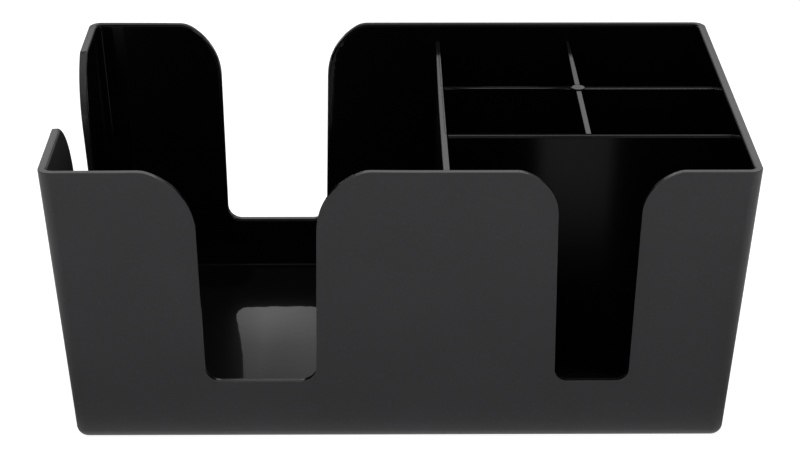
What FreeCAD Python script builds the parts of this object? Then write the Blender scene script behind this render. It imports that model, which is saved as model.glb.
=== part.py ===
"""Bar caddy: a tapered tub with a napkin bay, a front bay and four cells.

Millimetres, +Z up. The origin is at the middle of the base, at the height of
the surface that the caddy stands on. The front faces -Y, and the cells are on
the right, towards +X.
"""
import FreeCAD, Part
import math
import os
import re
from collections import namedtuple

import Sketcher

SIZES = {
    # outside of the tub, at the rim
    "tub_length": 241.3,
    "tub_width": 146.0,
    "tub_height": 106.0,
    # how far the walls lean outwards, in degrees
    "side_lean": 3.25,
    "front_lean": 3.6,
    "corner_radius": 4.5,
    "base_radius": 3.8,
    # walls and floor
    "wall": 3.0,
    "floor_thickness": 3.0,
    "inner_corner_radius": 2.0,
    "floor_radius": 1.5,
    "rim_radius": 1.1,
    # standing rim under the floor
    "foot_height": 0.8,
    "foot_width": 6.0,
    # finger notches, with their widths at the sill
    "sill_height": 24.0,
    "notch_taper": 1.0,
    "napkin_notch_place": -48.6,
    "front_notch_width": 38.5,
    "rear_notch_width": 39.9,
    "left_notch_place": 3.1,
    "left_notch_width": 42.6,
    "bay_notch_width": 25.8,
    # notch tops: an arc that meets the rim at a flare angle, in degrees, and a blend there
    "napkin_notch_arc": 23.5,
    "front_notch_flare": 16.0,
    "rear_notch_flare": 25.0,
    "napkin_corner_blend": 9.0,
    "left_notch_arc": 28.0,
    "left_notch_flare": 27.0,
    "left_corner_blend": 1.5,
    "bay_notch_arc": 16.5,
    "bay_notch_flare": 12.0,
    "bay_corner_blend": 6.0,
    "napkin_sill_radius": 5.5,
    "bay_sill_radius": 4.5,
    # dividers: how far they end below the rim, then those from front to rear and across
    "divider_drop": 6.8,
    "bay_divider_place": 15.8,
    "bay_divider_thickness": 2.3,
    "cells_middle": 66.8,
    "long_rib_thickness": 2.0,
    "long_edge_radius": 0.25,
    "cell_front_place": -25.2,
    "cross_rib_place": 20.0,
    "cross_thickness": 2.4,
    "cross_edge_radius": 0.9,
    "post_diameter": 5.6,
    "post_slot_depth": 1.2,
    # how the dividers sit in the tub and in the post
    "seat_depth": 1.0,
    "seat_inset": 3.0,
    "fit_gap": 0.1,
}

DERIVED = {
    "base_length": "tub_length - 2 * tub_height * tan(side_lean * 1deg)",
    "base_width": "tub_width - 2 * tub_height * tan(front_lean * 1deg)",
    "floor_top": "foot_height + floor_thickness",
    "divider_top": "tub_height - divider_drop",
    # half sizes of the inside, at the floor and at the tops of the dividers
    "floor_x": "base_length / 2 + floor_top * tan(side_lean * 1deg) - wall",
    "floor_y": "base_width / 2 + floor_top * tan(front_lean * 1deg) - wall",
    "top_x": "base_length / 2 + divider_top * tan(side_lean * 1deg) - wall",
    "top_y": "base_width / 2 + divider_top * tan(front_lean * 1deg) - wall",
    # where the cells begin, on the left and in front
    "cells_left": "bay_divider_place + bay_divider_thickness / 2",
    "cells_front": "cell_front_place + cross_thickness / 2",
    # how near the ribs come to the middle of the post
    "rib_reach": "post_diameter / 2 - post_slot_depth + fit_gap",
}

# how far a cut runs past the face that it goes through, and what counts as the same place
OVERRUN = 1.0
TOLERANCE = 0.01

# a notch in a wall along X or Y, on the low or high side; the rest are names of sizes
Notch = namedtuple("Notch", "name along side place width arc flare blend sill_radius")
NOTCHES = [
    Notch("front_napkin_notch", "X", -1, "napkin_notch_place", "front_notch_width",
          "napkin_notch_arc", "front_notch_flare", "napkin_corner_blend", "napkin_sill_radius"),
    Notch("rear_napkin_notch", "X", 1, "napkin_notch_place", "rear_notch_width",
          "napkin_notch_arc", "rear_notch_flare", "napkin_corner_blend", "napkin_sill_radius"),
    Notch("left_napkin_notch", "Y", -1, "left_notch_place", "left_notch_width",
          "left_notch_arc", "left_notch_flare", "left_corner_blend", "napkin_sill_radius"),
    Notch("bay_notch", "X", -1, "cells_middle", "bay_notch_width",
          "bay_notch_arc", "bay_notch_flare", "bay_corner_blend", "bay_sill_radius"),
]

NAMES = re.compile(r"\b(" + "|".join(list(SIZES) + list(DERIVED)) + r")\b")

doc = FreeCAD.newDocument("BarCaddy")
sheet = doc.addObject("Spreadsheet::Sheet", "Sizes")
cells = list(SIZES.items()) + [(name, "=" + formula) for name, formula in DERIVED.items()]
for row, (name, content) in enumerate(cells, start=1):
    sheet.set("A%d" % row, name)
    sheet.set("B%d" % row, str(content))
    sheet.setAlias("B%d" % row, name)
doc.recompute()


def with_sheet(expression):
    """The expression with the sheet's name before each of its cells."""
    return NAMES.sub(r"Sizes.\1", expression)


def bind(thing, prop, expression):
    thing.setExpression(prop, with_sheet(expression))


def value(expression):
    """What an expression comes to now, as a plain number."""
    return float(sheet.evalExpression(with_sheet(expression)))


def new_body(label):
    body = doc.addObject("PartDesign::Body", "Body_" + label)
    body.Label = label
    return body


def origin_feature(body, role):
    return [f for f in body.Origin.OriginFeatures if f.Role == role][0]


def new_sketch(body, name, plane, offset=None):
    """An empty sketch on an origin plane, moved along the plane's normal."""
    sketch = body.newObject("Sketcher::SketchObject", name)
    sketch.AttachmentSupport = [(origin_feature(body, plane), "")]
    sketch.MapMode = "FlatFace"
    if offset:
        bind(sketch, "AttachmentOffset.Base.z", offset)
    return sketch


def hold(sketch, kind, first, second, expression):
    """A dimension between two points of a sketch, tied to an expression."""
    now = value(expression)
    number = sketch.addConstraint(Sketcher.Constraint(kind, *first, *second, now))
    bind(sketch, "Constraints[%d]" % number, expression)


def outline(body, name, plane, corners, offset=None):
    """A closed sketch of straight lines through corners given as expressions."""
    sketch = new_sketch(body, name, plane, offset)
    points = [FreeCAD.Vector(value(x), value(y), 0) for x, y in corners]
    ends = points[1:] + points[:1]
    for start, end in zip(points, ends):
        sketch.addGeometry(Part.LineSegment(start, end), False)
    count = len(corners)
    for i in range(count):
        sketch.addConstraint(Sketcher.Constraint("Coincident", i, 2, (i + 1) % count, 1))
    for i, (x, y) in enumerate(corners):
        hold(sketch, "DistanceX", (-1, 1), (i, 1), x)
        hold(sketch, "DistanceY", (-1, 1), (i, 1), y)
    return sketch


def rectangle(body, name, plane, left, right, low, high, offset=None):
    corners = [(left, low), (right, low), (right, high), (left, high)]
    return outline(body, name, plane, corners, offset)


def pad(body, name, sketch, length, symmetric=False):
    feature = body.newObject("PartDesign::Pad", name)
    feature.Profile = sketch
    feature.SideType = "Symmetric" if symmetric else "One side"
    bind(feature, "Length", length)
    doc.recompute()
    return feature


def pocket(body, name, sketch, length, along_normal=False):
    """A cut against the sketch's normal, or along it, that must remove something."""
    before = body.Shape.Volume
    feature = body.newObject("PartDesign::Pocket", name)
    feature.Profile = sketch
    feature.Reversed = along_normal
    bind(feature, "Length", length)
    doc.recompute()
    if not body.Shape.Volume < before - TOLERANCE:
        raise RuntimeError("%s removed nothing" % name)
    return feature


def fillet(body, name, radius, wanted):
    """Round the edges of the body's last feature that a test picks."""
    base = body.Tip
    picked = ["Edge%d" % i for i, edge in enumerate(base.Shape.Edges, start=1) if wanted(edge)]
    if not picked:
        raise RuntimeError("%s found no edge" % name)
    feature = body.newObject("PartDesign::Fillet", name)
    feature.Base = (base, picked)
    bind(feature, "Radius", radius)
    doc.recompute()
    return feature


def middle(edge):
    """The point half way along an edge."""
    return edge.valueAt((edge.FirstParameter + edge.LastParameter) / 2)


def near(a, b):
    return abs(a - b) < TOLERANCE


def tapered_block(body, kind, name, low, high, inset):
    """A block between two heights whose sides lean with the tub's walls."""
    block = body.newObject("PartDesign::" + kind, name)
    # the block's own Y points up once it is turned
    block.AttachmentOffset = FreeCAD.Placement(
        FreeCAD.Vector(0, 0, 0), FreeCAD.Rotation(FreeCAD.Vector(1, 0, 0), 90))
    block.AttachmentSupport = [(origin_feature(body, "XY_Plane"), "")]
    block.MapMode = "FlatFace"
    lower_x = "base_length / 2 + (%s) * tan(side_lean * 1deg) - %s" % (low, inset)
    upper_x = "base_length / 2 + (%s) * tan(side_lean * 1deg) - %s" % (high, inset)
    lower_y = "base_width / 2 + (%s) * tan(front_lean * 1deg) - %s" % (low, inset)
    upper_y = "base_width / 2 + (%s) * tan(front_lean * 1deg) - %s" % (high, inset)
    bind(block, "Ymin", low)
    bind(block, "Ymax", high)
    for prop, half in (("X", lower_x), ("X2", upper_x), ("Z", lower_y), ("Z2", upper_y)):
        bind(block, prop + "min", "-(%s)" % half)
        bind(block, prop + "max", half)
    doc.recompute()
    return block


def is_upright(edge):
    """True for the four edges where the walls of a block meet."""
    start, end = [vertex.Point for vertex in edge.Vertexes]
    return abs(end.z - start.z) > (end - start).Length / 2


def half_inside(z):
    """Half length and half width of the inside at a height."""
    share = (z - value("floor_top")) / (value("divider_top") - value("floor_top"))
    half_x = value("floor_x") + share * (value("top_x") - value("floor_x"))
    half_y = value("floor_y") + share * (value("top_y") - value("floor_y"))
    return half_x, half_y


def is_inner_rim(edge):
    """True for the inner edge of the rim and of the notches."""
    point = middle(edge)
    half_x, half_y = half_inside(point.z)
    inside = abs(point.x) < half_x + TOLERANCE and abs(point.y) < half_y + TOLERANCE
    return inside and edge.BoundBox.ZMin > value("sill_height") - TOLERANCE


def crosses_wall(edge, height, along):
    """True for a level straight edge that goes through a wall at a height."""
    box = edge.BoundBox
    length, other = (box.XLength, box.YLength) if along == "X" else (box.YLength, box.XLength)
    level = near(box.ZMin, height) and near(box.ZMax, height)
    return level and length > value("wall") / 2 and near(other, 0)


def draw_notch(body, notch, plane):
    """A notch's outline: a sill, two leaning sides and two arcs that flare out.

    Each arc leaves its side smoothly, passes the rim at the flare angle and ends
    half way between the rim and its own top.
    """
    arc_start = "(tub_height - %s * (cos(%s * 1deg) - sin(notch_taper * 1deg)))" % (
        notch.arc, notch.flare)
    arc_end = "(tub_height + %s * (1 - cos(%s * 1deg)) / 2)" % (notch.arc, notch.flare)
    half_sill = "%s / 2" % notch.width
    half_top = "(%s + (%s - sill_height) * tan(notch_taper * 1deg))" % (half_sill, arc_start)

    radius = value(notch.arc)
    lean = math.radians(value("notch_taper"))
    centre_out = value(half_top) + radius * math.cos(lean)
    centre_height = value(arc_start) - radius * math.sin(lean)
    lift = math.asin((value(arc_end) - centre_height) / radius)

    def point(sign, out, height):
        return FreeCAD.Vector(value(notch.place) + sign * out, height, 0)

    def corner_arc(sign):
        circle = Part.Circle(point(sign, centre_out, centre_height), FreeCAD.Vector(0, 0, 1), radius)
        if sign > 0:
            return Part.ArcOfCircle(circle, math.pi - lift, math.pi + lean)
        return Part.ArcOfCircle(circle, -lean, lift)

    sill_ends = [point(sign, value(half_sill), value("sill_height")) for sign in (-1, 1)]
    side_ends = [point(sign, value(half_top), value(arc_start)) for sign in (-1, 1)]
    arc_ends = [point(sign, centre_out - radius * math.cos(lift), value(arc_end)) for sign in (-1, 1)]

    sketch = new_sketch(body, notch.name + "_outline", plane)
    sill = sketch.addGeometry(Part.LineSegment(*sill_ends), False)
    right = sketch.addGeometry(Part.LineSegment(sill_ends[1], side_ends[1]), False)
    right_arc = sketch.addGeometry(corner_arc(1), False)
    top = sketch.addGeometry(Part.LineSegment(arc_ends[1], arc_ends[0]), False)
    left_arc = sketch.addGeometry(corner_arc(-1), False)
    left = sketch.addGeometry(Part.LineSegment(side_ends[0], sill_ends[0]), False)
    joints = [
        ("Coincident", sill, 2, right, 1),
        ("Tangent", right, 2, right_arc, 2),
        ("Coincident", right_arc, 1, top, 1),
        ("Coincident", top, 2, left_arc, 2),
        ("Tangent", left_arc, 1, left, 1),
        ("Coincident", left, 2, sill, 1),
    ]
    for joint in joints:
        sketch.addConstraint(Sketcher.Constraint(*joint))

    origin = (-1, 1)
    for ends, half_width in ((((sill, 1), (sill, 2)), half_sill), (((left, 1), (right, 2)), half_top)):
        hold(sketch, "DistanceX", origin, ends[0], "%s - %s" % (notch.place, half_width))
        hold(sketch, "DistanceX", origin, ends[1], "%s + %s" % (notch.place, half_width))
    heights = [
        ("sill_height", (sill, 1), (sill, 2)),
        (arc_start, (left, 1), (right, 2)),
        (arc_end, (top, 1), (top, 2)),
    ]
    for height, *ends in heights:
        for end in ends:
            hold(sketch, "DistanceY", origin, end, height)
    for curve in (left_arc, right_arc):
        hold(sketch, "Radius", (curve,), (), notch.arc)
    doc.recompute()
    if sketch.solve() != 0:
        raise RuntimeError("%s has sizes that contradict each other" % sketch.Name)
    return sketch


def cut_notch(body, notch):
    plane, reach = "XZ_Plane", "tub_width / 2 + %g" % OVERRUN
    if notch.along == "Y":
        plane, reach = "YZ_Plane", "tub_length / 2 + %g" % OVERRUN
    # a cut in the front wall goes along its plane's normal, the others go against it
    along_normal = notch.along == "X" and notch.side < 0
    pocket(body, notch.name, draw_notch(body, notch, plane), reach, along_normal)


def round_notch(body, notch):
    """Blend a notch's corners at the rim and round the ends of its sill."""
    across = "Y" if notch.along == "X" else "X"
    reach = value("%s / 2 + %s" % (notch.width, notch.arc))

    def corner_at(height):
        def wanted(edge):
            point = middle(edge)
            here, out = (point.x, point.y) if notch.along == "X" else (point.y, point.x)
            in_this_notch = abs(here - value(notch.place)) < reach and out * notch.side > 0
            return in_this_notch and crosses_wall(edge, value(height), across)
        return wanted
    fillet(body, notch.name + "_corners", notch.blend, corner_at("tub_height"))
    fillet(body, notch.name + "_sill_ends", notch.sill_radius, corner_at("sill_height"))


def cut_seat(body, name, left, right, front, rear):
    """A blind slot in the floor, wider than the tongue by the fit gap all round."""
    sketch = rectangle(
        body, name + "_outline", "XY_Plane",
        "%s - fit_gap" % left, "%s + fit_gap" % right,
        "%s - fit_gap" % front, "%s + fit_gap" % rear, offset="floor_top")
    pocket(body, name, sketch, "seat_depth")


def make_tub():
    body = new_body("tub")
    tapered_block(body, "AdditiveWedge", "block", "0", "tub_height", "0")
    fillet(body, "outer_corners", "corner_radius", is_upright)
    fillet(body, "base_edge", "base_radius", lambda edge: near(edge.BoundBox.ZMax, 0))

    full_volume = body.Shape.Volume
    tapered_block(body, "SubtractiveWedge", "inside", "floor_top",
                  "tub_height + %g" % OVERRUN, "wall")
    if not body.Shape.Volume < full_volume / 2:
        raise RuntimeError("the inside of the tub was not cut")

    def inner_corner(edge):
        half_x = half_inside(middle(edge).z)[0]
        return is_upright(edge) and abs(middle(edge).x) < half_x + TOLERANCE
    fillet(body, "inner_corners", "inner_corner_radius", inner_corner)

    def floor_edge(edge):
        box = edge.BoundBox
        return near(box.ZMin, value("floor_top")) and near(box.ZMax, value("floor_top"))
    fillet(body, "floor_edge", "floor_radius", floor_edge)

    for notch in NOTCHES:
        cut_notch(body, notch)
    for notch in NOTCHES:
        round_notch(body, notch)
    fillet(body, "rim_edge", "rim_radius", is_inner_rim)

    hollow_x = "(base_length / 2 - base_radius - foot_width)"
    hollow_y = "(base_width / 2 - base_radius - foot_width)"
    sketch = rectangle(body, "underside_outline", "XY_Plane",
                       "-" + hollow_x, hollow_x, "-" + hollow_y, hollow_y)
    pocket(body, "underside", sketch, "foot_height", True)

    def hollow_corner(edge):
        box = edge.BoundBox
        straight_up = near(box.XLength, 0) and near(box.YLength, 0)
        return straight_up and near(box.ZMax, value("foot_height"))
    fillet(body, "underside_corners", "corner_radius", hollow_corner)

    half = "bay_divider_thickness / 2"
    cut_seat(body, "bay_divider_seat",
             "bay_divider_place - " + half, "bay_divider_place + " + half,
             "-(floor_y - seat_inset)", "(floor_y - seat_inset)")
    half = "cross_thickness / 2"
    cut_seat(body, "cell_front_seat",
             "cells_left + seat_inset", "floor_x - seat_inset",
             "cell_front_place - " + half, "cell_front_place + " + half)
    cut_seat(body, "cross_rib_left_seat",
             "cells_left + seat_inset", "cells_middle - rib_reach - seat_inset",
             "cross_rib_place - " + half, "cross_rib_place + " + half)
    cut_seat(body, "cross_rib_right_seat",
             "cells_middle + rib_reach + seat_inset", "floor_x - seat_inset",
             "cross_rib_place - " + half, "cross_rib_place + " + half)
    half = "long_rib_thickness / 2"
    cut_seat(body, "long_rib_front_seat",
             "cells_middle - " + half, "cells_middle + " + half,
             "cells_front + seat_inset", "cross_rib_place - rib_reach - seat_inset")
    cut_seat(body, "long_rib_rear_seat",
             "cells_middle - " + half, "cells_middle + " + half,
             "cross_rib_place + rib_reach + seat_inset", "floor_y - seat_inset")

    socket = new_sketch(body, "post_socket_outline", "XY_Plane", offset="floor_top")
    centre = FreeCAD.Vector(value("cells_middle"), value("cross_rib_place"), 0)
    radius = "post_diameter / 2 + fit_gap"
    circle = Part.Circle(centre, FreeCAD.Vector(0, 0, 1), value(radius))
    socket.addGeometry(circle, False)
    hold(socket, "DistanceX", (-1, 1), (0, 3), "cells_middle")
    hold(socket, "DistanceY", (-1, 1), (0, 3), "cross_rib_place")
    hold(socket, "Radius", (0,), (), radius)
    pocket(body, "post_socket", socket, "seat_depth")
    return body


def make_divider(label, plane, place, thickness, edge_radius, start, end):
    """An upright plate that stands on the floor with a tongue in its seat.

    start and end each give the plate's end at the floor and at the top, True
    where that end lies on a leaning wall, and the face that the seat is inset
    from. The places are expressions along the plane.
    """
    body = new_body(label)
    corners = [(start[0], "floor_top"), (end[0], "floor_top"),
               (end[1], "divider_top"), (start[1], "divider_top")]
    sketch = outline(body, label + "_outline", plane, corners, place)
    pad(body, label + "_plate", sketch, thickness, symmetric=True)

    horizontal = "X" if plane == "XZ_Plane" else "Y"
    wall_ends = [value(side[0]) for side in (start, end) if side[2]]

    def foot_corner(edge):
        point = middle(edge)
        along = point.x if horizontal == "X" else point.y
        box = edge.BoundBox
        low = near(box.ZMin, value("floor_top")) and near(box.ZMax, value("floor_top"))
        return low and any(near(along, place_of_end) for place_of_end in wall_ends)
    if wall_ends:
        fillet(body, label + "_foot_corners", "floor_radius + fit_gap", foot_corner)

    def top_edge(edge):
        box = edge.BoundBox
        length = box.XLength if horizontal == "X" else box.YLength
        return near(box.ZMin, value("divider_top")) and length > 2 * value(thickness)
    fillet(body, label + "_top_edges", edge_radius, top_edge)

    tongue = rectangle(
        body, label + "_tongue_outline", plane,
        "%s + seat_inset" % start[3], "%s - seat_inset" % end[3],
        "floor_top - seat_depth + fit_gap", "floor_top", offset=place)
    pad(body, label + "_tongue", tongue, thickness, symmetric=True)
    return body


def make_dividers():
    left_end = ("cells_left + fit_gap", "cells_left + fit_gap", False, "cells_left")
    right_wall = ("floor_x - fit_gap", "top_x - fit_gap", True, "floor_x")
    front_wall = ("-(floor_y - fit_gap)", "-(top_y - fit_gap)", True, "-floor_y")
    rear_wall = ("floor_y - fit_gap", "top_y - fit_gap", True, "floor_y")

    def at_post(middle_of_post, sign):
        reach = "%s %s rib_reach" % (middle_of_post, sign)
        return (reach, reach, False, reach)

    behind_front = ("cells_front + fit_gap", "cells_front + fit_gap", False, "cells_front")
    # the front plane's normal points forwards, so places along Y change sign
    return [
        make_divider("bay_divider", "YZ_Plane", "bay_divider_place", "bay_divider_thickness",
                     "long_edge_radius", front_wall, rear_wall),
        make_divider("cell_front_divider", "XZ_Plane", "-cell_front_place", "cross_thickness",
                     "cross_edge_radius", left_end, right_wall),
        make_divider("cross_rib_left", "XZ_Plane", "-cross_rib_place", "cross_thickness",
                     "cross_edge_radius", left_end, at_post("cells_middle", "-")),
        make_divider("cross_rib_right", "XZ_Plane", "-cross_rib_place", "cross_thickness",
                     "cross_edge_radius", at_post("cells_middle", "+"), right_wall),
        make_divider("long_rib_front", "YZ_Plane", "cells_middle", "long_rib_thickness",
                     "long_edge_radius", behind_front, at_post("cross_rib_place", "-")),
        make_divider("long_rib_rear", "YZ_Plane", "cells_middle", "long_rib_thickness",
                     "long_edge_radius", at_post("cross_rib_place", "+"), rear_wall),
    ]


def make_post():
    body = new_body("centre_post")
    bind(body, "Placement.Base.x", "cells_middle")
    bind(body, "Placement.Base.y", "cross_rib_place")
    bottom = "floor_top - seat_depth + fit_gap"
    round_section = new_sketch(body, "post_section", "XY_Plane", offset=bottom)
    circle = Part.Circle(FreeCAD.Vector(0, 0, 0), FreeCAD.Vector(0, 0, 1),
                         value("post_diameter / 2"))
    round_section.addGeometry(circle, False)
    round_section.addConstraint(Sketcher.Constraint("Coincident", 0, 3, -1, 1))
    hold(round_section, "Radius", (0,), (), "post_diameter / 2")
    pad(body, "post_round", round_section, "divider_top - (%s)" % bottom)

    outer = "post_diameter / 2 + %g" % OVERRUN
    inner = "post_diameter / 2 - post_slot_depth"
    half = "(cross_thickness / 2 + fit_gap)"
    cross_slot = rectangle(body, "cross_slot_outline", "XY_Plane",
                           inner, outer, "-" + half, half, offset="floor_top")
    half = "(long_rib_thickness / 2 + fit_gap)"
    long_slot = rectangle(body, "long_slot_outline", "XY_Plane",
                          "-" + half, half, inner, outer, offset="floor_top")
    for name, slot in (("cross_slot", cross_slot), ("long_slot", long_slot)):
        cut = pocket(body, name, slot, "divider_top - floor_top", True)
        pair = body.newObject("PartDesign::PolarPattern", name + "_pair")
        pair.Originals = [cut]
        pair.Axis = (origin_feature(body, "Z_Axis"), [""])
        pair.Angle = 360
        pair.Occurrences = 2
        body.Tip = pair
        doc.recompute()
    return body


pieces = [make_tub()] + make_dividers() + [make_post()]
doc.recompute()

for thing in doc.Objects:
    if "Invalid" in thing.State or "Error" in thing.State:
        raise RuntimeError("%s did not build" % thing.Name)
for piece in pieces:
    if piece.Shape.isNull() or not piece.Shape.isValid():
        raise RuntimeError("%s has no valid shape" % piece.Label)

os.makedirs("parts", exist_ok=True)
for piece in pieces:
    piece.Shape.exportStep("parts/%s.step" % piece.Label)
    box = piece.Shape.BoundBox
    print("%-20s solids %d volume %9.1f  x %.2f %.2f  y %.2f %.2f  z %.2f %.2f" % (
        piece.Label, len(piece.Shape.Solids), piece.Shape.Volume,
        box.XMin, box.XMax, box.YMin, box.YMax, box.ZMin, box.ZMax))
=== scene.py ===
"""Looks of a black moulded bar caddy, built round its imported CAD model. Metres."""

import math

import bmesh
import bpy
from mathutils import Matrix, Vector


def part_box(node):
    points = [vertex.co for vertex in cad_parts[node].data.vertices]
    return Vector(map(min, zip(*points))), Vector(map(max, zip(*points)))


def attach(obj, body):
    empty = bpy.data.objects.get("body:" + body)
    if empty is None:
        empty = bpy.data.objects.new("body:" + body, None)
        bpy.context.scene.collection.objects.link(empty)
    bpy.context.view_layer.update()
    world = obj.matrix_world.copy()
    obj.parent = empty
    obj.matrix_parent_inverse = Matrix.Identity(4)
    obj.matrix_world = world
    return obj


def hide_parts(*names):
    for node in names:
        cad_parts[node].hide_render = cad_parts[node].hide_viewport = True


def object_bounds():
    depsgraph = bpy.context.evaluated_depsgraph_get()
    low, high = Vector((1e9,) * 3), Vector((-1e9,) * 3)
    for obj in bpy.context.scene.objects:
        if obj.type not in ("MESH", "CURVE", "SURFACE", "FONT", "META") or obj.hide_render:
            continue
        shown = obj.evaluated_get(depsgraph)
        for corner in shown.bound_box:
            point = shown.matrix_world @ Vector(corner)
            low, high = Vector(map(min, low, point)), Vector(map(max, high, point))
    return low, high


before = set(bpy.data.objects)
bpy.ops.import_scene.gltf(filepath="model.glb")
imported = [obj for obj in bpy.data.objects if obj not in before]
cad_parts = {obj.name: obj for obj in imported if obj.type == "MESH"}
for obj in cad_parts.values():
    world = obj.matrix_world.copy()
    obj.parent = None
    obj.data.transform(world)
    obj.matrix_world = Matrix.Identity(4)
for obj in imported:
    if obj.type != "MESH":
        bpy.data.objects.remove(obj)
cad_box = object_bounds()

# Tub
# One injection moulding in black ABS: leaning walls with finger notches, a floor and a standing
# ring. Its mould is spark-eroded outside, polished on the core that shapes the inside, and milled
# where the two halves meet along the rims, so it is grained, mirror-bright and satin by turns.
MM = 0.001
WALL = 3.0 * MM
FLOOR_TOP = 3.8 * MM
FOOT_HEIGHT = 0.8 * MM
BASE_RADIUS = 3.8 * MM
CORNER_RADIUS = 4.5 * MM
SILL_HEIGHT = 24.0 * MM
SIDE_LEAN = math.radians(3.25)
FRONT_LEAN = math.radians(3.6)
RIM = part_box("tub")[1]
ALIKE = 0.001 * MM


def linear(code):
    """The linear colour of an sRGB hex value, with alpha 1."""
    channels = [int(code[i:i + 2], 16) / 255 for i in (1, 3, 5)]
    return [c / 12.92 if c <= 0.04045 else ((c + 0.055) / 1.055) ** 2.4 for c in channels] + [1]


def add_node(tree, kind, inputs=None, **settings):
    """Adds a node. An input is given a constant, or another node's socket that feeds it."""
    node = tree.nodes.new(kind)
    for name, setting in settings.items():
        setattr(node, name, setting)
    for name, given in (inputs or {}).items():
        if isinstance(given, bpy.types.NodeSocket):
            tree.links.new(given, node.inputs[name])
        else:
            node.inputs[name].default_value = given
    return node


def start_material(name):
    """A new material with its node tree, its shader and the Object coordinates."""
    material = bpy.data.materials.new(name)
    material.use_nodes = True
    tree = material.node_tree
    return material, tree, tree.nodes["Principled BSDF"], add_node(
        tree, "ShaderNodeTexCoord").outputs["Object"]


def grained_abs():
    """Black ABS from a spark-eroded cavity: a fine even matt grain with a few paler specks.

    The real grain is about 0.1 mm, too fine to show here, so it is drawn at 0.9 mm.
    """
    material, tree, shader, place = start_material("abs_spark_eroded")
    grain_pitch, cloud_pitch = 0.9 * MM, 35 * MM
    grain = add_node(tree, "ShaderNodeTexNoise", {
        "Vector": place, "Scale": 1 / grain_pitch, "Detail": 2.0, "Roughness": 0.6})
    cloud = add_node(tree, "ShaderNodeTexNoise", {
        "Vector": place, "Scale": 1 / cloud_pitch, "Detail": 2.0, "Roughness": 0.5})
    specks = add_node(tree, "ShaderNodeMapRange", {
        "Value": grain.outputs["Fac"], "From Min": 0.56, "From Max": 0.78})
    tone = add_node(tree, "ShaderNodeMath", {
        0: cloud.outputs["Fac"], 1: 0.5, 2: specks.outputs[0]}, operation="MULTIPLY_ADD")
    ramp = add_node(tree, "ShaderNodeValToRGB", {"Fac": tone.outputs[0]})
    ramp.color_ramp.elements[0].color = linear("#313032")
    ramp.color_ramp.elements[1].color = linear("#3b3a3d")
    tree.links.new(ramp.outputs["Color"], shader.inputs["Base Color"])
    bump = add_node(tree, "ShaderNodeBump", {
        "Height": grain.outputs["Fac"], "Strength": 0.3, "Distance": 0.04 * MM})
    tree.links.new(bump.outputs["Normal"], shader.inputs["Normal"])
    shader.inputs["Roughness"].default_value = 0.5
    shader.inputs["IOR"].default_value = 1.5
    # the grain's tips catch light where the surface turns away
    shader.inputs["Sheen Weight"].default_value = 0.2
    shader.inputs["Sheen Roughness"].default_value = 0.4
    return material


def satin_abs():
    """Black ABS where the mould was milled: satin, with a soft sheen and faint cutter marks."""
    material, tree, shader, place = start_material("abs_milled")
    mark_pitch = 1.3 * MM
    marks = add_node(tree, "ShaderNodeTexNoise", {
        "Vector": place, "Scale": 1 / mark_pitch, "Detail": 3.0, "Roughness": 0.6})
    bump = add_node(tree, "ShaderNodeBump", {
        "Height": marks.outputs["Fac"], "Strength": 0.35, "Distance": 0.05 * MM})
    tree.links.new(bump.outputs["Normal"], shader.inputs["Normal"])
    shader.inputs["Base Color"].default_value = linear("#101011")
    shader.inputs["Roughness"].default_value = 0.15
    shader.inputs["IOR"].default_value = 1.5
    return material


def polished_abs(name, mirror, spread, painted_top_light=False):
    """Black ABS from a polished core: a mirror with some haze, blurred up and down by draw marks.

    The marks are where the core slid out, about 2 mm apart and as tall as the wall. With
    painted_top_light the finish is duller, and its colour is painted paler towards the top of the wall.
    This is a painted highlight for the light that falls on the wall's upper part.
    """
    material, tree, shader, place = start_material(name)
    draw_pitch, draw_length = 2.2 * MM, 70 * MM
    stretched = add_node(tree, "ShaderNodeMapping", {
        "Vector": place, "Scale": (1 / draw_pitch, 1 / draw_pitch, 1 / draw_length)})
    draws = add_node(tree, "ShaderNodeTexNoise", {
        "Vector": stretched.outputs[0], "Scale": 1.0, "Detail": 1.0, "Roughness": 0.4})
    bump = add_node(tree, "ShaderNodeBump", {
        "Height": draws.outputs["Fac"], "Strength": 0.12, "Distance": 0.05 * MM})
    tree.links.new(bump.outputs["Normal"], shader.inputs["Normal"])
    tree.links.new(bump.outputs["Normal"], shader.inputs["Coat Normal"])
    shader.inputs["Base Color"].default_value = linear("#040404")
    shader.inputs["Roughness"].default_value = spread
    shader.inputs["IOR"].default_value = 1.45
    shader.inputs["Specular IOR Level"].default_value = 0.5 - 0.5 * mirror
    shader.inputs["Coat Weight"].default_value = mirror
    shader.inputs["Coat Roughness"].default_value = 0.03
    shader.inputs["Coat IOR"].default_value = 1.45
    if painted_top_light:
        # painted highlight: the colour goes from the plain black to a paler grey towards the top of the
        # wall, for light that falls on its upper part
        painted_light_start, painted_light_full = 72 * MM, 106 * MM
        height = add_node(tree, "ShaderNodeSeparateXYZ", {0: place}).outputs["Z"]
        painted_light_share = add_node(tree, "ShaderNodeMapRange", {
            "Value": height, "From Min": painted_light_start, "From Max": painted_light_full},
            interpolation_type="SMOOTHSTEP")
        tone = add_node(tree, "ShaderNodeValToRGB", {"Fac": painted_light_share.outputs[0]})
        tone.color_ramp.elements[0].color = linear("#040404")
        tone.color_ramp.elements[1].color = linear("#39393a")
        tree.links.new(tone.outputs["Color"], shader.inputs["Base Color"])
    return material


def outer_half(z):
    """Half the length and half the width of the tub's outside at a height."""
    return (RIM.x - (RIM.z - z) * math.tan(SIDE_LEAN), RIM.y - (RIM.z - z) * math.tan(FRONT_LEAN))


def depth(point):
    """How far a point lies behind the tub's outer surface, whose corners are rounded."""
    half_x, half_y = outer_half(point.z)
    from_side, from_front = half_x - abs(point.x), half_y - abs(point.y)
    if max(from_side, from_front) > CORNER_RADIUS:
        return min(from_side, from_front)
    return CORNER_RADIUS - math.hypot(CORNER_RADIUS - from_side, CORNER_RADIUS - from_front)


def share_between(value, start, end):
    """How far a value has gone from start to end, from 0 to 1."""
    return min(max((value - start) / (end - start), 0.0), 1.0)


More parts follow.
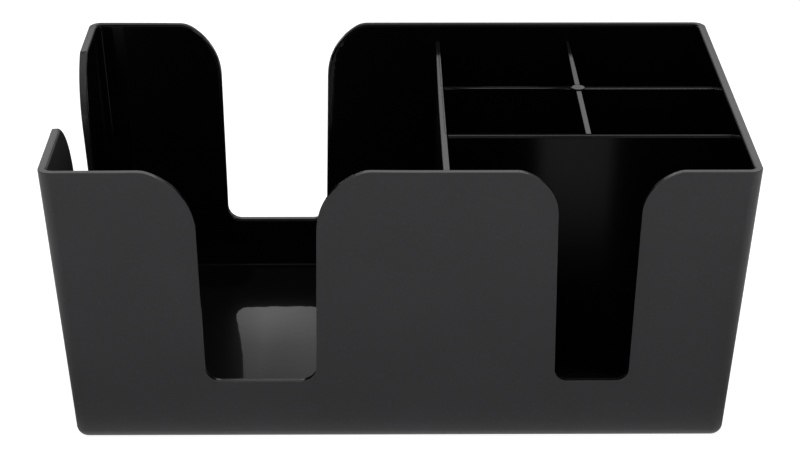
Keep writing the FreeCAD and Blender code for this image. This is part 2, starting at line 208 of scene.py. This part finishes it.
def settle(piece, sharp_angle=math.radians(40)):
    """Makes a piece's modifiers part of its mesh, and shades it smooth between its sharp edges."""
    def applied():
        graph = bpy.context.evaluated_depsgraph_get()
        mesh = bpy.data.meshes.new_from_object(piece.evaluated_get(graph))
        piece.modifiers.clear()
        piece.data = mesh
        return mesh

    mesh = applied()
    mesh.shade_smooth()
    mesh.set_sharp_from_angle(angle=sharp_angle)
    piece.modifiers.new("even_flats", "WEIGHTED_NORMAL").keep_sharp = True
    applied().name = piece.name


outside_finish, rim_finish = grained_abs(), satin_abs()
inside_finish = polished_abs("abs_polished", mirror=0.86, spread=0.28)
# a duller polished finish, with a painted highlight that makes it paler towards the top
painted_light_finish = polished_abs("abs_polished_painted_light", mirror=0.3, spread=0.35, painted_top_light=True)
GRAINED, SATIN, POLISHED, PAINTED_LIGHT = range(4)

tub_form = bmesh.new()
tub_form.from_mesh(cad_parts["tub"].data)
bmesh.ops.remove_doubles(tub_form, verts=tub_form.verts, dist=ALIKE)
bmesh.ops.dissolve_limit(
    tub_form, angle_limit=math.radians(0.1), verts=tub_form.verts, edges=tub_form.edges)

# The mould closes on the outer edges of the rims and notches, which leaves them barely rounded.
edge_radius = 0.25 * MM
right_angle = math.radians(60)
outer_edges = [
    edge for edge in tub_form.edges
    if len(edge.link_faces) == 2 and edge.calc_face_angle() > right_angle
    and all(depth(v.co) < 0.05 * MM and v.co.z > SILL_HEIGHT - ALIKE for v in edge.verts)]
bmesh.ops.bevel(tub_form, geom=outer_edges, offset=edge_radius, segments=3, profile=0.5,
                affect="EDGES", clamp_overlap=True)

# The broad faces are cut into a grid, so that they can bend as a cooled moulding does.
grid_pitch = 3 * MM
for axis in range(3):
    normal = Vector((axis == 0, axis == 1, axis == 2))
    low, high = cad_box[0][axis], cad_box[1][axis]
    cuts = int((high - low) / grid_pitch)
    for cut in range(1, cuts):
        bmesh.ops.bisect_plane(
            tub_form, geom=tub_form.verts[:] + tub_form.edges[:] + tub_form.faces[:], dist=ALIKE,
            plane_co=normal * (low + (high - low) * cut / cuts), plane_no=normal)

painted_light_from = -16 * MM
for face in tub_form.faces:
    centre = face.calc_center_median()
    under = centre.z < FOOT_HEIGHT + ALIKE or (centre.z < BASE_RADIUS and face.normal.z < 0)
    if under or depth(centre) < 0.1 * WALL:
        face.material_index = GRAINED
    else:
        face.material_index = POLISHED if depth(centre) > 0.9 * WALL else SATIN
    # the front part of the left wall and the sides of its notch take the duller finish with the painted
    # highlight, which is paler towards the top
    inner_left = outer_half(centre.z)[0] + centre.x < 1.5 * WALL
    front_tab = face.material_index == POLISHED and centre.y < painted_light_from
    notch_side = face.material_index == SATIN and abs(centre.y) < 0.6 * RIM.y and face.normal.z < 0.9
    if inner_left and (front_tab or notch_side):
        face.material_index = PAINTED_LIGHT

# The side rims stand square to their leaning walls, the rear one half so, and the front one is
# level. The tabs' free ends lean in, each by what its row gives: its side along Y, its free end and where the bend starts
# along X, and how far it leans.
rim_zone = 12 * MM
TAB_BENDS = [
    (-1, -68 * MM, -112 * MM, 0.6 * MM),
    (-1, -28 * MM, 12 * MM, 0.9 * MM),
    (1, -68 * MM, -112 * MM, 1.0 * MM)]
# The floor of the napkin bay rises a little along its middle.
hump_place, hump_reach, hump_height = -48 * MM, 14 * MM, 0.8 * MM
for vertex in tub_form.verts:
    x, y, z = vertex.co
    behind = depth(vertex.co)
    half_x, half_y = outer_half(z)
    lean = SIDE_LEAN if half_x - abs(x) < half_y - abs(y) else FRONT_LEAN
    drop = math.tan(lean) * max(WALL - behind, 0.0) * share_between(z, RIM.z - rim_zone, RIM.z)
    if lean == FRONT_LEAN:
        drop *= 0.5 if y > 0 else 0.0
    inwards = 0.0
    for side, free_end, bend_start, amount in TAB_BENDS:
        on_tab = min(free_end, bend_start) < x + ALIKE < max(free_end, bend_start)
        if on_tab and y * side > half_y - 2 * WALL:
            along = share_between(x, bend_start, free_end)
            inwards -= side * amount * (along * share_between(z, SILL_HEIGHT, RIM.z)) ** 2
    vertex.co.y += inwards
    vertex.co.z -= drop
    if abs(z - FLOOR_TOP) < ALIKE and behind > WALL and x < 0:
        fade = math.cos(0.5 * math.pi * y / half_y)
        vertex.co.z += hump_height * fade * math.exp(-((x - hump_place) / hump_reach) ** 2)

tub_mesh = bpy.data.meshes.new("tub_shell")
tub_form.to_mesh(tub_mesh)
tub_form.free()
for finish in (outside_finish, rim_finish, inside_finish, painted_light_finish):
    tub_mesh.materials.append(finish)
tub = bpy.data.objects.new("tub_shell", tub_mesh)
bpy.context.scene.collection.objects.link(tub)
settle(tub)
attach(tub, "root")
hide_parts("tub")

# Divider plates
# Six upright plates in the same polished ABS. Each grows from one rule: a section with rounded top
# edges, drawn along the floor between two ends that lean with the walls. The crosswise plates are
# sunk along their tops where the plastic shrank, and the one behind the front bay is crowned.
PLATE_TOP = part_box("bay_divider")[1].z


def new_tree(name, sockets):
    """A new geometry tree with the given inputs, and its input node."""
    tree = bpy.data.node_groups.new(name, "GeometryNodeTree")
    tree.interface.new_socket(name="Mesh", in_out="OUTPUT", socket_type="NodeSocketGeometry")
    for socket, kind in sockets:
        tree.interface.new_socket(name=socket, in_out="INPUT", socket_type="NodeSocket" + kind)
    return tree, add_node(tree, "NodeGroupInput").outputs


def close_tree(tree, geometry, material):
    """Ends a tree: its instances become real and take their finish."""
    real = add_node(tree, "GeometryNodeRealizeInstances", {"Geometry": geometry})
    finished = add_node(tree, "GeometryNodeSetMaterial", {
        "Geometry": real.outputs[0], "Material": material})
    add_node(tree, "NodeGroupOutput", {"Mesh": finished.outputs[0]})
    return tree


def grow(name, tree, settings, mesh=None):
    """A plain mesh grown by a tree whose inputs are given by name, from a mesh where it needs one."""
    piece = bpy.data.objects.new(name, mesh or bpy.data.meshes.new(name))
    bpy.context.scene.collection.objects.link(piece)
    modifier = piece.modifiers.new(name, "NODES")
    modifier.node_group = tree
    for item in tree.interface.items_tree:
        if item.name in settings:
            modifier[item.identifier] = settings[item.name]
    settle(piece)
    return piece


def plate_tree():
    """The rule of a plate that stands along X, with its thickness along Y."""
    lengths = ("Start", "End", "Start Lean", "End Lean", "Foot", "Height", "Thickness",
               "Edge Radius", "Sink", "Bow", "Taper")
    tree, given = new_tree("moulded_plate", [(name, "Float") for name in lengths] + [
        ("Material", "Material")])

    def math_node(operation, *values):
        return add_node(
            tree, "ShaderNodeMath", dict(enumerate(values)), operation=operation).outputs[0]

    # the section's third and fourth corners become its top
    section = add_node(tree, "GeometryNodeCurvePrimitiveQuadrilateral", {
        "Width": given["Thickness"], "Height": given["Height"]})
    index = add_node(tree, "GeometryNodeInputIndex")
    is_top = math_node("GREATER_THAN", index.outputs[0], 1.5)
    rounded = add_node(tree, "GeometryNodeFilletCurve", {
        "Curve": section.outputs[0], "Radius": math_node("MULTIPLY", is_top, given["Edge Radius"])},
        mode="POLY")
    rounded.inputs["Count"].default_value = 5
    fine = add_node(tree, "GeometryNodeSubdivideCurve", {"Curve": rounded.outputs[0], "Cuts": 5})
    line = add_node(tree, "GeometryNodeCurvePrimitiveLine", {"End": (1, 0, 0)})
    stations = add_node(tree, "GeometryNodeResampleCurve", {"Curve": line.outputs[0], "Count": 25})
    bar = add_node(tree, "GeometryNodeCurveToMesh", {
        "Curve": stations.outputs[0], "Profile Curve": fine.outputs[0], "Fill Caps": True})

    place = add_node(tree, "ShaderNodeSeparateXYZ", {
        0: add_node(tree, "GeometryNodeInputPosition").outputs[0]}).outputs
    along, across = place["X"], place["Y"]
    rise = math_node("MULTIPLY_ADD", given["Height"], 0.5, place["Z"])
    start = math_node("MULTIPLY_ADD", rise, given["Start Lean"], given["Start"])
    end = math_node("MULTIPLY_ADD", rise, given["End Lean"], given["End"])
    x = add_node(tree, "ShaderNodeMapRange", {"Value": along, "To Min": start, "To Max": end})
    arch = math_node("MULTIPLY", along, math_node("SUBTRACT", 1.0, along))
    loss = math_node("MULTIPLY", math_node("MULTIPLY", along, along), given["Taper"])
    loss = math_node("MULTIPLY", loss, math_node("DIVIDE", rise, given["Height"]))
    kept = math_node("MULTIPLY", across, math_node("SUBTRACT", 1.0, loss))
    y = math_node("MULTIPLY_ADD", arch, math_node("MULTIPLY", given["Bow"], 4.0), kept)
    off_middle = math_node("DIVIDE", across, given["Thickness"])
    squared = math_node("MULTIPLY", off_middle, off_middle)
    hollow = math_node("MULTIPLY_ADD", squared, -4.0, 1.0)
    hollow = math_node("MULTIPLY", hollow, math_node("DIVIDE", rise, given["Height"]))
    z = math_node("ADD", rise, given["Foot"])
    z = math_node("SUBTRACT", z, math_node("MULTIPLY", hollow, given["Sink"]))
    moved = add_node(tree, "ShaderNodeCombineXYZ", {"X": x.outputs[0], "Y": y, "Z": z})
    plate = add_node(tree, "GeometryNodeSetPosition", {
        "Geometry": bar.outputs[0], "Position": moved.outputs[0]})
    return close_tree(tree, plate.outputs[0], given["Material"])


# Each plate: its direction, edge radius, the depth of its sink (a crown is a negative one), how far
# it bows, the share that its top has thinned by at its rear end, and whether its ends lie on a
# leaning wall.
PLATES = {
    "bay_divider": ("Y", 0.25 * MM, 0.0, 0.25 * MM, 0.3, True, True),
    "cell_front_divider": ("X", 0.5 * MM, -0.4 * MM, 0.0, 0.0, False, True),
    "cross_rib_left": ("X", 0.3 * MM, 0.42 * MM, 0.6 * MM, 0.0, False, False),
    "cross_rib_right": ("X", 0.3 * MM, 0.42 * MM, 0.0, 0.0, False, True),
    "long_rib_front": ("Y", 0.25 * MM, 0.0, 0.0, 0.0, False, False),
    "long_rib_rear": ("Y", 0.25 * MM, 0.0, 0.0, 0.5, False, True)}
# Slots as narrow as these are hard to polish in a mould, so the plates are hazier than the tub.
plate_finish = polished_abs("abs_slot_polished", mirror=0.0, spread=0.2)
top_zone = 1.2 * MM
plate_rule = plate_tree()
for name, (direction, edge, sink, bow, taper, wall_start, wall_end) in PLATES.items():
    low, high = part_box(name)
    along, across = (0, 1) if direction == "X" else (1, 0)
    lean = math.tan(SIDE_LEAN if direction == "X" else FRONT_LEAN)
    height = PLATE_TOP - FLOOR_TOP + min(sink, 0.0)
    plate = grow(name + "_plate", plate_rule, {
        "Start": low[along] + wall_start * height * lean,
        "End": high[along] - wall_end * height * lean,
        "Start Lean": -lean * wall_start,
        "End Lean": lean * wall_end,
        "Foot": FLOOR_TOP,
        "Height": height,
        "Thickness": high[across] - low[across],
        "Edge Radius": edge,
        "Sink": sink,
        "Bow": bow,
        "Taper": taper,
        "Material": plate_finish})
    turn = Matrix.Rotation(math.pi / 2, 4, "Z") if direction == "Y" else Matrix.Identity(4)
    middle = Vector((0, 0, 0))
    middle[across] = (low[across] + high[across]) / 2
    plate.data.transform(Matrix.Translation(middle) @ turn)
    plate.data.materials.append(rim_finish)
    for face in plate.data.polygons:
        is_top = face.center.z > PLATE_TOP - top_zone and face.normal.z > 0.5
        face.material_index = 1 if is_top else 0
    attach(plate, "root")
    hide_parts(name)

# Centre post
# The round post where the four cells meet. Its top stands a little proud of the plates, as a flat
# button with a slanted heel at the rear.
low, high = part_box("centre_post")
post_middle = (low + high) / 2
post_radius = (high.x - low.x) / 2
button_radius, button_height, heel = 2.35 * MM, 0.4 * MM, 0.9 * MM
button = bmesh.new()
sides = 48
rings = []
for radius, shift, lift in (
        (post_radius, heel * 0.5, 0.0), (button_radius + 0.1 * MM, -0.35 * MM, button_height - 0.1 * MM),
        (button_radius - 0.1 * MM, -0.35 * MM, button_height)):
    rings.append([button.verts.new((
        post_middle.x + radius * math.cos(2 * math.pi * i / sides),
        post_middle.y + shift + radius * math.sin(2 * math.pi * i / sides),
        PLATE_TOP + lift)) for i in range(sides)])
for lower, upper in zip(rings, rings[1:]):
    for i in range(sides):
        j = (i + 1) % sides
        button.faces.new((lower[i], lower[j], upper[j], upper[i]))
button.faces.new(rings[-1])
button.faces.new(list(reversed(rings[0])))
button_mesh = bpy.data.meshes.new("post_button")
button.to_mesh(button_mesh)
button.free()
button_mesh.materials.append(rim_finish)
post_button = bpy.data.objects.new("post_button", button_mesh)
bpy.context.scene.collection.objects.link(post_button)
settle(post_button)
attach(post_button, "root")
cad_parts["centre_post"].data.materials.clear()
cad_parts["centre_post"].data.materials.append(inside_finish)

# Witness lines
# Each cell is shaped by its own core, and where the cores close on the plates they leave a fine
# raised line along the tops, which turns the corner from one plate to the next.
line_width = 0.22 * MM


def line_tree():
    """A fine round ridge along a path of straight edges, whose corners it rounds."""
    tree, given = new_tree("witness_line", [
        ("Path", "Geometry"), ("Corner Radius", "Float"), ("Width", "Float"),
        ("Material", "Material")])
    path = add_node(tree, "GeometryNodeMeshToCurve", {"Mesh": given["Path"]})
    turned = add_node(tree, "GeometryNodeFilletCurve", {
        "Curve": path.outputs[0], "Radius": given["Corner Radius"]}, mode="POLY")
    turned.inputs["Count"].default_value = 8
    half_width = add_node(tree, "ShaderNodeMath", {0: given["Width"], 1: 0.5}, operation="MULTIPLY")
    ring = add_node(tree, "GeometryNodeCurvePrimitiveCircle", {
        "Resolution": 8, "Radius": half_width.outputs[0]})
    ridge = add_node(tree, "GeometryNodeCurveToMesh", {
        "Curve": turned.outputs[0], "Profile Curve": ring.outputs[0], "Fill Caps": True})
    return close_tree(tree, ridge.outputs[0], given["Material"])


# Each line's corners along X and Y, from the wall or post where it starts to where it ends.
divider_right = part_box("bay_divider")[1].x
front_plate, left_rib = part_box("cell_front_divider"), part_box("cross_rib_left")
inset, corner = 0.3 * MM, 2.0 * MM
post_edge = post_middle.x - post_radius
LINES = {
    "core_line_front_cell": [
        (post_edge, left_rib[0].y + inset), (divider_right - 0.9 * MM, left_rib[0].y + inset),
        (divider_right - 0.9 * MM, front_plate[1].y - inset), (post_edge, front_plate[1].y - inset)],
    "core_line_rear_cell": [
        (divider_right - 1.1 * MM, RIM.y - 14 * MM), (divider_right - 1.1 * MM, left_rib[1].y - inset),
        (post_edge, left_rib[1].y - inset)]}
line_rule = line_tree()
for name, corners in LINES.items():
    path = bpy.data.meshes.new(name + "_path")
    path.from_pydata([(x, y, PLATE_TOP) for x, y in corners],
                     [(i, i + 1) for i in range(len(corners) - 1)], [])
    ridge = grow(name, line_rule, {
        "Corner Radius": corner, "Width": line_width, "Material": rim_finish}, path)
    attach(ridge, "root")

# Stage
# A pale floor and a white surround, with soft lamps above and in front.
floor_size = 6.0
bpy.ops.mesh.primitive_plane_add(size=floor_size, location=(0, 0, 0))
floor = bpy.context.object
floor.name = "floor"
floor_material = bpy.data.materials.new("pale_floor")
floor_material.use_nodes = True
tree = floor_material.node_tree
tree.nodes.clear()
paper = add_node(tree, "ShaderNodeBsdfDiffuse", {"Color": (0.8, 0.8, 0.8, 1)})
shaded = add_node(tree, "ShaderNodeBsdfDiffuse", {"Color": (0.35, 0.35, 0.35, 1)})
glow = add_node(tree, "ShaderNodeEmission", {"Color": (1, 1, 1, 1), "Strength": 0.92})
both = add_node(tree, "ShaderNodeAddShader", {0: shaded.outputs[0], 1: glow.outputs[0]})
path = add_node(tree, "ShaderNodeLightPath")
# In the gloss the floor shows a painted pattern instead of its lit look. There is a painted highlight
# strip at the foot of the front, then a painted shadow of the caddy close round it, then dim painted
# light further in front, and it is pale out to the sides.
spot = add_node(tree, "ShaderNodeSeparateXYZ", {
    0: add_node(tree, "ShaderNodeNewGeometry").outputs["Position"]}).outputs
aside = add_node(tree, "ShaderNodeMath", {0: spot["X"]}, operation="ABSOLUTE")
in_front = add_node(tree, "ShaderNodeMapRange", {
    "Value": spot["Y"], "From Min": -0.11, "From Max": -0.24, "To Max": 0.3},
    interpolation_type="SMOOTHSTEP")
# the painted highlight strip along the foot of the front
off_foot = add_node(tree, "ShaderNodeMath", {0: spot["Y"], 1: 0.067}, operation="ADD")
off_foot = add_node(tree, "ShaderNodeMath", {0: off_foot.outputs[0]}, operation="ABSOLUTE")
at_foot = add_node(tree, "ShaderNodeMapRange", {
    "Value": off_foot.outputs[0], "From Min": 0.007, "From Max": 0.003, "To Max": 1.0})
front_glow = add_node(tree, "ShaderNodeMath", {
    0: in_front.outputs[0], 1: at_foot.outputs[0]}, operation="MAXIMUM")
below_front = add_node(tree, "ShaderNodeMapRange", {
    "Value": aside.outputs[0], "From Min": 0.13, "From Max": 0.11})
near = add_node(tree, "ShaderNodeMath", {
    0: front_glow.outputs[0], 1: below_front.outputs[0]}, operation="MULTIPLY")
out_aside = add_node(tree, "ShaderNodeMapRange", {
    "Value": aside.outputs[0], "From Min": 0.15, "From Max": 0.25, "To Max": 0.9},
    interpolation_type="SMOOTHSTEP")
in_gloss = add_node(tree, "ShaderNodeMath", {
    0: near.outputs[0], 1: out_aside.outputs[0]}, operation="MAXIMUM")
painted_floor_glow = add_node(tree, "ShaderNodeEmission", {"Color": (1, 1, 1, 1), "Strength": in_gloss.outputs[0]})
floor_seen = add_node(tree, "ShaderNodeMixShader", {
    0: path.outputs["Is Glossy Ray"], 1: paper.outputs[0], 2: painted_floor_glow.outputs[0]})
floor_mix = add_node(tree, "ShaderNodeMixShader", {
    0: path.outputs["Is Camera Ray"], 1: floor_seen.outputs[0], 2: both.outputs[0]})
add_node(tree, "ShaderNodeOutputMaterial", {"Surface": floor_mix.outputs[0]})
floor.data.materials.append(floor_material)

world = bpy.data.worlds.new("studio")
bpy.context.scene.world = world
world.use_nodes = True
tree = world.node_tree
tree.nodes.clear()
path = add_node(tree, "ShaderNodeLightPath")
seen = add_node(tree, "ShaderNodeMath", {
    0: path.outputs["Is Camera Ray"], 1: path.outputs["Is Glossy Ray"]}, operation="MAXIMUM")
seen_any = add_node(tree, "ShaderNodeMath", {
    0: seen.outputs[0], 1: path.outputs["Is Transmission Ray"]}, operation="MAXIMUM")
ambient = add_node(tree, "ShaderNodeBackground", {"Color": (1, 1, 1, 1), "Strength": 0.3})
direction = add_node(tree, "ShaderNodeTexCoord").outputs["Generated"]
axes = add_node(tree, "ShaderNodeSeparateXYZ", {0: direction})
elevation = add_node(tree, "ShaderNodeMath", {0: axes.outputs["Z"]}, operation="ARCSINE")
# The bright band of the surround begins a little higher straight behind than towards its sides.
off_axis = add_node(tree, "ShaderNodeMath", {0: axes.outputs["X"]}, operation="ABSOLUTE")
lag = add_node(tree, "ShaderNodeMapRange", {
    "Value": off_axis.outputs[0], "From Min": 0.08, "From Max": 0.16,
    "To Min": math.radians(-1.5), "To Max": math.radians(1.0)})
lagged = add_node(tree, "ShaderNodeMath", {
    0: elevation.outputs[0], 1: lag.outputs[0]}, operation="ADD")
lift = add_node(tree, "ShaderNodeMapRange", {
    "Value": lagged.outputs[0], "From Min": math.radians(-90), "From Max": math.radians(90)})
ramp = add_node(tree, "ShaderNodeValToRGB", {"Fac": lift.outputs[0]})
LEVELS = [
    (-90, 0.0), (10, 0.12), (17.5, 0.22), (21.5, 1.0), (25, 1.0), (27.5, 0.5), (30.5, 0.28),
    (45, 0.24), (60, 0.1), (75, 0.3), (90, 0.5)]
ramp.color_ramp.elements.remove(ramp.color_ramp.elements[1])
for i, (degrees, level) in enumerate(LEVELS):
    stops, share = ramp.color_ramp.elements, (degrees + 90) / 180
    stop = stops[0] if i == 0 else stops.new(share)
    stop.position = share
    stop.color = (level, level, level, 1)
behind = add_node(tree, "ShaderNodeMapRange", {
    "Value": axes.outputs["Y"], "From Min": 0.0, "From Max": 0.5, "To Min": 0.05, "To Max": 1.25})
level = add_node(tree, "ShaderNodeMath", {
    0: ramp.outputs["Color"], 1: behind.outputs[0]}, operation="MULTIPLY")
# A wide soft source in front of the caddy, which only edges that turn to the front show.
ahead = add_node(tree, "ShaderNodeMapRange", {
    "Value": axes.outputs["Y"], "From Min": -0.6, "From Max": -0.75, "To Max": 0.3})
above_eyes = add_node(tree, "ShaderNodeMapRange", {
    "Value": axes.outputs["Z"], "From Min": 0.42, "From Max": 0.52})
ahead = add_node(tree, "ShaderNodeMath", {
    0: ahead.outputs[0], 1: above_eyes.outputs[0]}, operation="MULTIPLY")
level = add_node(tree, "ShaderNodeMath", {
    0: level.outputs[0], 1: ahead.outputs[0]}, operation="MAXIMUM")
camera_level = add_node(tree, "ShaderNodeMath", {
    0: path.outputs["Is Camera Ray"], 1: level.outputs[0]}, operation="MAXIMUM")
white = add_node(tree, "ShaderNodeBackground", {
    "Color": (1, 1, 1, 1), "Strength": camera_level.outputs[0]})
mixed = add_node(tree, "ShaderNodeMixShader", {
    0: seen_any.outputs[0], 1: ambient.outputs[0], 2: white.outputs[0]})
add_node(tree, "ShaderNodeOutputWorld", {"Surface": mixed.outputs[0]})

# Each lamp: its place, its size, its power, and whether it shows in the gloss.
LAMPS = {
    "top_lamp": ((0, -0.15, 1.2), 0.6, 8, False),
    "right_lamp": ((0.8, -0.5, 0.9), 0.5, 1.3, True),
    "front_fill": ((-0.25, -1.1, 0.18), 0.8, 4.15, False),
    "back_fill": ((0, 1.1, 0.25), 0.8, 2.0, False)}
for name, (place, size, power, glossy) in LAMPS.items():
    data = bpy.data.lights.new(name, "AREA")
    data.shape = "SQUARE"
    data.size = size
    data.energy = power
    lamp = bpy.data.objects.new(name, data)
    lamp.location = place
    aim = Vector((0, 0, RIM.z / 2)) - Vector(place)
    lamp.rotation_euler = aim.to_track_quat("-Z", "Y").to_euler()
    lamp.visible_glossy = glossy
    bpy.context.scene.collection.objects.link(lamp)

# Camera
# It stands in front of the caddy, a little to the left, and looks down on it.
camera_data = bpy.data.cameras.new("camera")
camera_data.lens = 94.268
camera_data.sensor_width = 36.0
camera = bpy.data.objects.new("camera", camera_data)
bpy.context.scene.collection.objects.link(camera)
camera_place = Vector((-0.006516, -0.705678, 0.387152))
look_down, look_right, roll = 0.444716, 0.009876, 0.002443
camera.matrix_world = (
    Matrix.Translation(camera_place)
    @ Matrix.Rotation(-look_right, 4, "Z")
    @ Matrix.Rotation(math.pi / 2 - look_down, 4, "X")
    @ Matrix.Rotation(roll, 4, "Z"))
bpy.context.scene.camera = camera
bpy.context.scene.view_settings.view_transform = "Standard"
